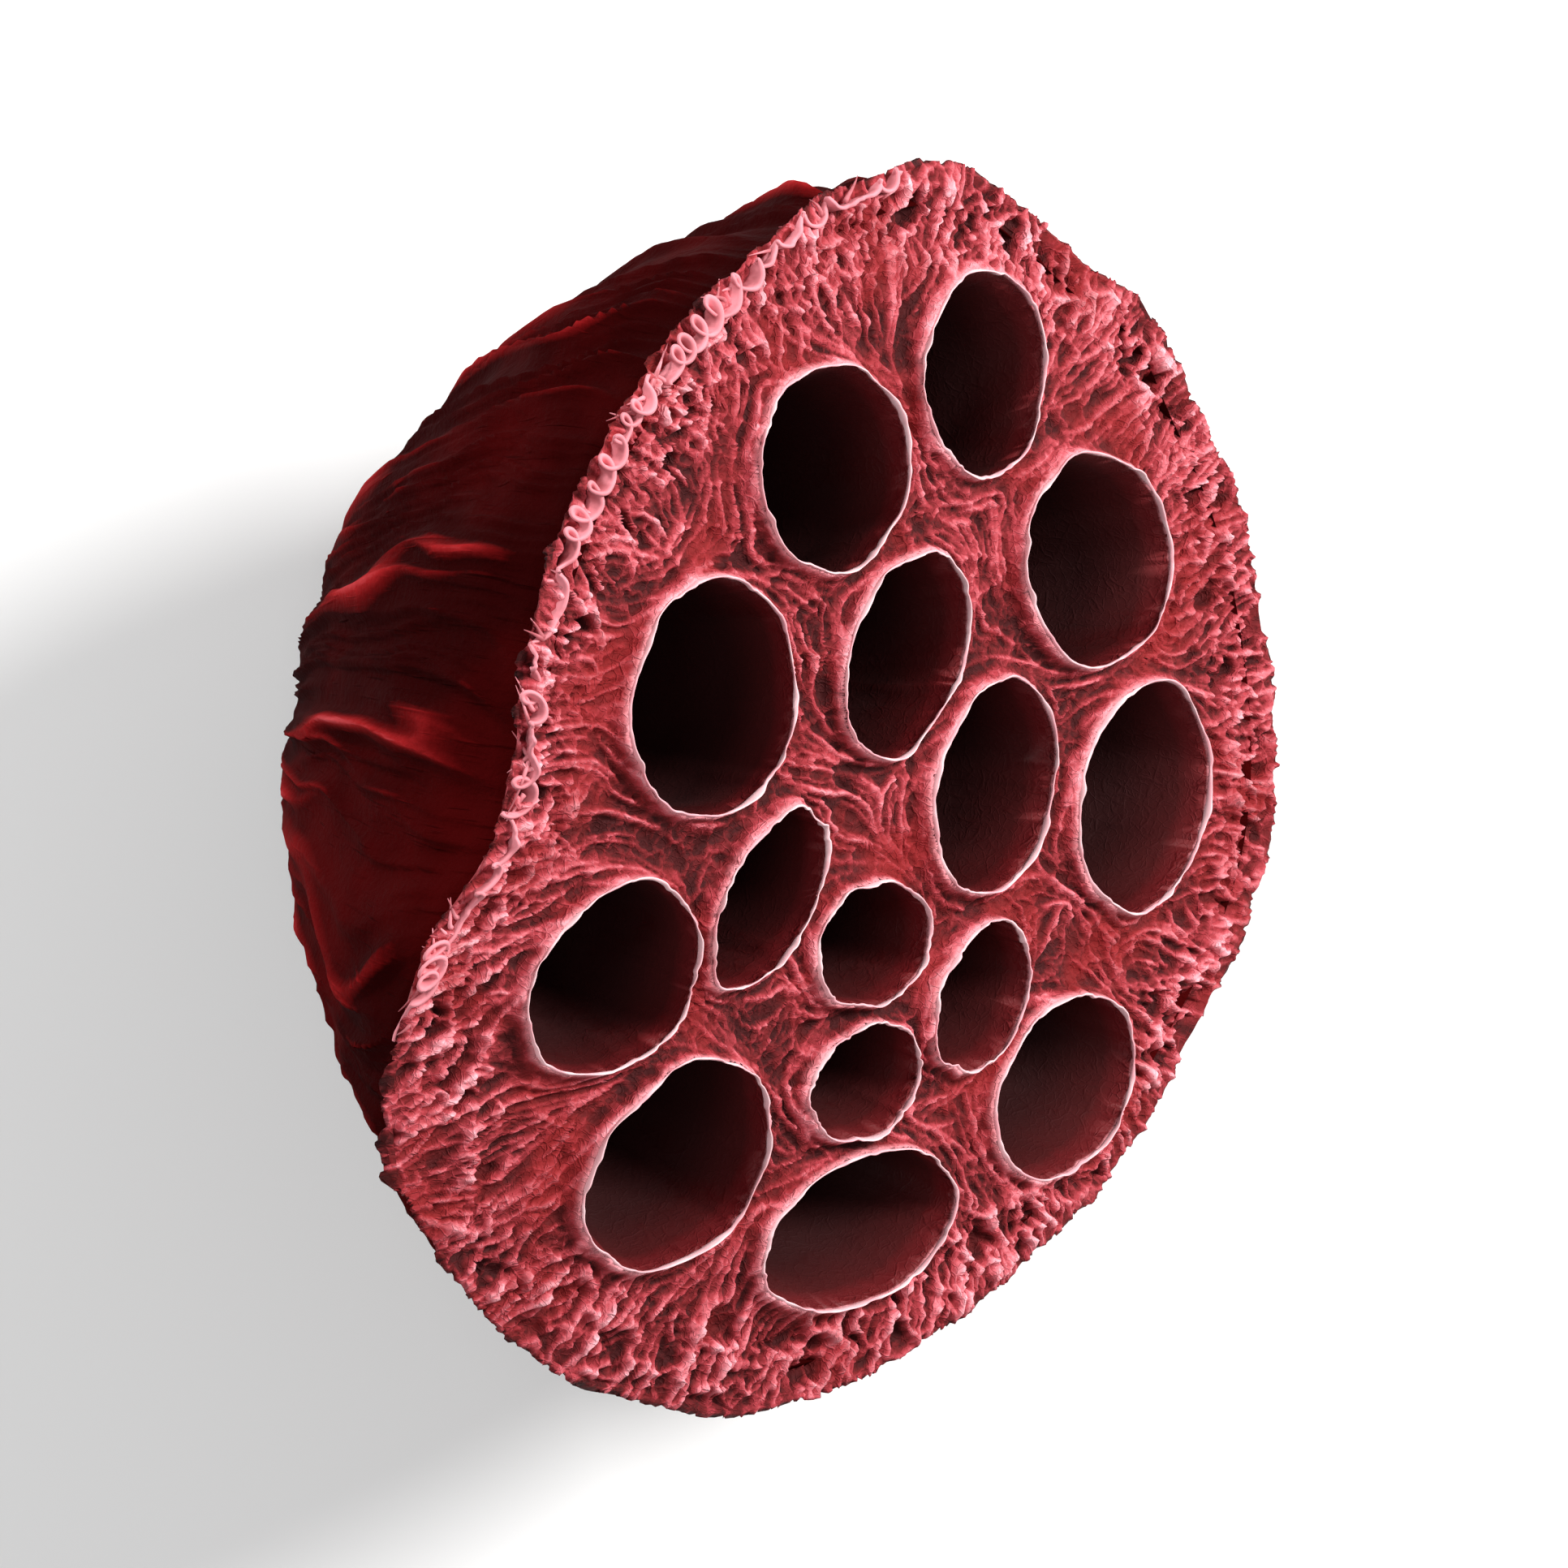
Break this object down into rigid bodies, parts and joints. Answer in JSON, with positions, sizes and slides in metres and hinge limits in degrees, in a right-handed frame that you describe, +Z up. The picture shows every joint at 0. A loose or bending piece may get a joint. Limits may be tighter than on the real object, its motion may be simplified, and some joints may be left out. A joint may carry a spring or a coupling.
{
  "type": "dried lotus pod",
  "caption": "Dried lotus seed pod with open seed cells in its flat woody face, cut from its stalk and lying on its side.",
  "frame": {"origin": "on the surface that the pod lies on, under the middle of the pod's box", "axes": "+Z up; +X is the side that the seed face looks towards, 50 degrees above the surface; +Y runs across the seed face and is the longest way across the pod"},
  "size_m": [0.0766, 0.0898, 0.0695],
  "materials": {
    "dry_pod": "matte"
  },
  "bodies": {
    "root": {"lotus_pod": "dry_pod"}
  },
  "joints": []
}
